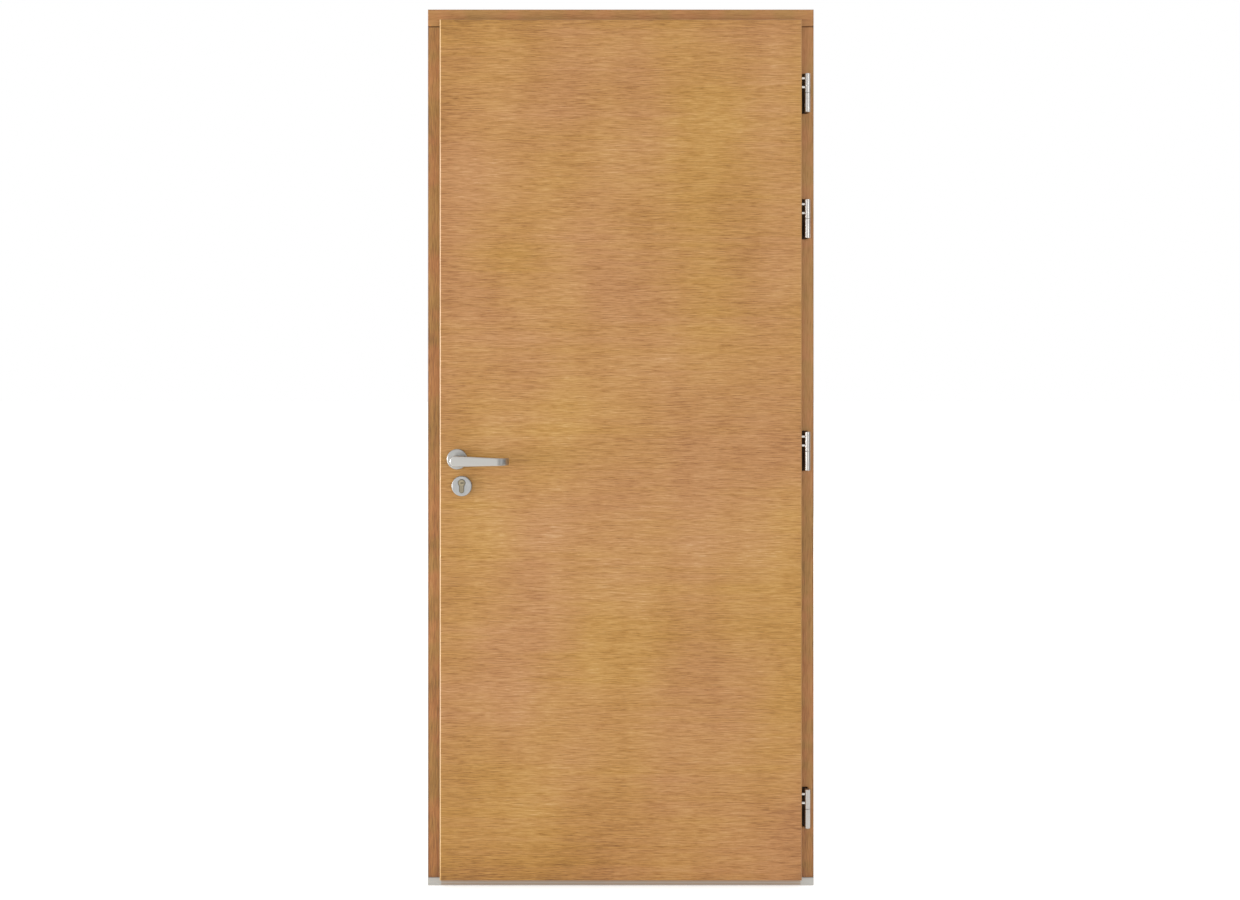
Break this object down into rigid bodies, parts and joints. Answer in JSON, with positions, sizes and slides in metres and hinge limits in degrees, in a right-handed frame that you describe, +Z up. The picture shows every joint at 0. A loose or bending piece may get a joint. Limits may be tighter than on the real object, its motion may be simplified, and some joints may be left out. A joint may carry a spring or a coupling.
{
  "type": "oak front door in its frame",
  "caption": "Flush oak entrance door leaf that overlaps its narrow oak frame, hung on pin hinges, with a lever handle, a key rose and a low metal threshold.",
  "frame": {"origin": "on the underside of the threshold, in the middle of the frame's width and of the wooden frame's depth", "axes": "+Z up, +X towards the hinges as seen from the room, +Y to the outside of the house"},
  "size_m": [0.96, 0.175, 2.18],
  "materials": {
    "oak_face": "satin",
    "oak_leaf_edge": "satin",
    "oak_frame": "satin",
    "core_board": "matte",
    "threshold_aluminium": "satin",
    "threshold_plastic": "matte",
    "seal_rubber": "matte",
    "hinge_steel": "satin",
    "hinge_pocket_plate": "matte",
    "lock_steel": "satin",
    "lever_steel": "satin",
    "key_plug": "satin"
  },
  "bodies": {
    "frame": {"lock_jamb": "oak_frame", "hinge_jamb": "oak_frame", "head_rail": "oak_frame", "lock_stop": "oak_frame", "hinge_stop": "oak_frame", "head_stop": "oak_frame", "lock_seal": "seal_rubber", "hinge_seal": "seal_rubber", "head_seal": "seal_rubber", "threshold_inner": "threshold_aluminium", "threshold_break": "threshold_plastic", "threshold_outer": "threshold_aluminium", "strike_plate": "lock_steel", "hinge_1_frame_knuckle": "hinge_steel", "hinge_1_frame_plate": "hinge_pocket_plate", "hinge_2_frame_knuckle": "hinge_steel", "hinge_2_frame_plate": "hinge_pocket_plate", "hinge_3_frame_knuckle": "hinge_steel", "hinge_3_frame_plate": "hinge_pocket_plate", "hinge_4_frame_knuckle": "hinge_steel", "hinge_4_frame_plate": "hinge_pocket_plate"},
    "leaf": {"inner_face_board": "oak_face", "hinge_stile": "oak_leaf_edge", "lock_stile": "oak_leaf_edge", "top_rail": "oak_leaf_edge", "bottom_rail": "oak_leaf_edge", "leaf_core": "core_board", "outer_face_board": "oak_face", "bottom_seal": "seal_rubber", "lock_faceplate": "lock_steel", "latch_bolt": "lock_steel", "dead_bolt": "lock_steel", "inner_lever_rose": "lever_steel", "outer_lever_rose": "lever_steel", "inner_key_rose": "lever_steel", "outer_key_rose": "lever_steel", "lock_cylinder": "lever_steel", "inner_key_plug": "key_plug", "outer_key_plug": "key_plug", "hinge_1_leaf_knuckle": "hinge_steel", "hinge_2_leaf_knuckle": "hinge_steel", "hinge_3_leaf_knuckle": "hinge_steel", "hinge_4_leaf_knuckle": "hinge_steel"},
    "lever_set": {"inner_lever": "lever_steel", "outer_lever": "lever_steel", "lever_spindle": "lever_steel"}
  },
  "joints": [
    {"name": "leaf_swing", "type": "hinge", "parent": "frame", "child": "leaf", "pos_m": [0.4623, -0.048, 1.1], "axis": [0, 0, 1], "range_deg": [0, 110]},
    {"name": "lever_turn", "type": "hinge", "parent": "leaf", "child": "lever_set", "pos_m": [-0.4042, -0.057, 1.063], "axis": [0, 1, 0], "range_deg": [0, 40], "stiffness_Nm_per_rad": 1.2, "springref_deg": -34.38}
  ]
}
